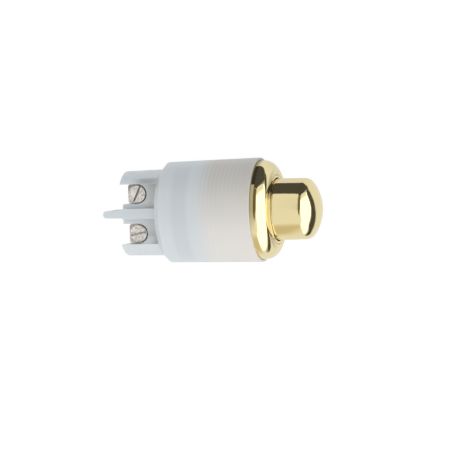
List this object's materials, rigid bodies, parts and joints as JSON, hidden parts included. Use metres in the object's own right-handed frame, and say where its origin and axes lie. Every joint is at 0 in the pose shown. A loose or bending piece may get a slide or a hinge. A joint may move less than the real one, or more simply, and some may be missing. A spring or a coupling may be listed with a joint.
{
  "type": "pushbutton switch",
  "caption": "Round panel pushbutton switch with a brass cap and collar on a milky plastic body; pressing the cap closes a contact between screw terminals.",
  "frame": {"origin": "centre of the housing's front rim, in the plane that bears on the back of the panel", "axes": "-Y out of the panel along the button's axis, +Y along the body to the terminal end, +Z the side on which the terminal screws are turned, +X across the two terminals"},
  "size_m": [0.025, 0.0527, 0.025],
  "materials": {
    "housing_plastic": "milky translucent moulding, fine satin surface",
    "polished_brass": "polished and lacquered brass",
    "inner_plastic": "natural white moulding",
    "contact_brass": "plain rolled brass",
    "contact_silver": "silver contact face",
    "nickel_steel": "nickel-plated steel",
    "spring_steel": "bright drawn spring wire"
  },
  "bodies": {
    "housing": {"housing": "housing_plastic", "stem_guide": "inner_plastic", "contact_strip_left": "contact_brass", "contact_strip_right": "contact_brass", "fixed_tip_left": "contact_silver", "fixed_tip_right": "contact_silver"},
    "collar": {"collar": "polished_brass"},
    "button": {"button_cap": "polished_brass", "plunger": "inner_plastic", "stem_clip": "spring_steel", "bridge_washer": "spring_steel", "return_spring": "spring_steel"},
    "bridge": {"contact_bridge": "contact_brass", "moving_tip_left": "contact_silver", "moving_tip_right": "contact_silver", "contact_spring": "spring_steel"},
    "clamp_left": {"clamp_plate_left": "nickel_steel"},
    "clamp_right": {"clamp_plate_right": "nickel_steel"},
    "screw_left": {"terminal_screw_left": "nickel_steel"},
    "screw_right": {"terminal_screw_right": "nickel_steel"}
  },
  "joints": [
    {"name": "button_press", "type": "slide", "parent": "housing", "child": "button", "axis": [0, 1, 0], "range_m": [0, 0.003], "stiffness_N_per_m": 600, "springref_m": -0.004, "deforming": ["return_spring"]},
    {"name": "bridge_travel", "type": "slide", "parent": "housing", "child": "bridge", "axis": [0, 1, 0], "range_m": [0, 0.0022], "deforming": ["contact_spring"]},
    {"name": "collar_adjust", "type": "slide", "parent": "housing", "child": "collar", "axis": [0, -1, 0], "range_m": [0, 0.004]},
    {"name": "clamp_travel_left", "type": "slide", "parent": "housing", "child": "clamp_left", "axis": [0, 0, -1], "range_m": [0, 0.0013]},
    {"name": "clamp_travel_right", "type": "slide", "parent": "housing", "child": "clamp_right", "axis": [0, 0, -1], "range_m": [0, 0.0013]},
    {"name": "screw_turn_left", "type": "hinge", "parent": "clamp_left", "child": "screw_left", "pos_m": [-0.00476, 0.02965, 0], "axis": [0, 0, -1], "range_deg": [0, 1042]},
    {"name": "screw_turn_right", "type": "hinge", "parent": "clamp_right", "child": "screw_right", "pos_m": [0.00476, 0.02965, 0], "axis": [0, 0, -1], "range_deg": [0, 1042]}
  ],
  "couplings": [
    {"joint": "bridge_travel", "follows": "button_press", "ratio": 0.7333},
    {"joint": "screw_turn_left", "follows": "clamp_travel_left", "rad_per_m": 13963},
    {"joint": "screw_turn_right", "follows": "clamp_travel_right", "rad_per_m": 13963}
  ]
}
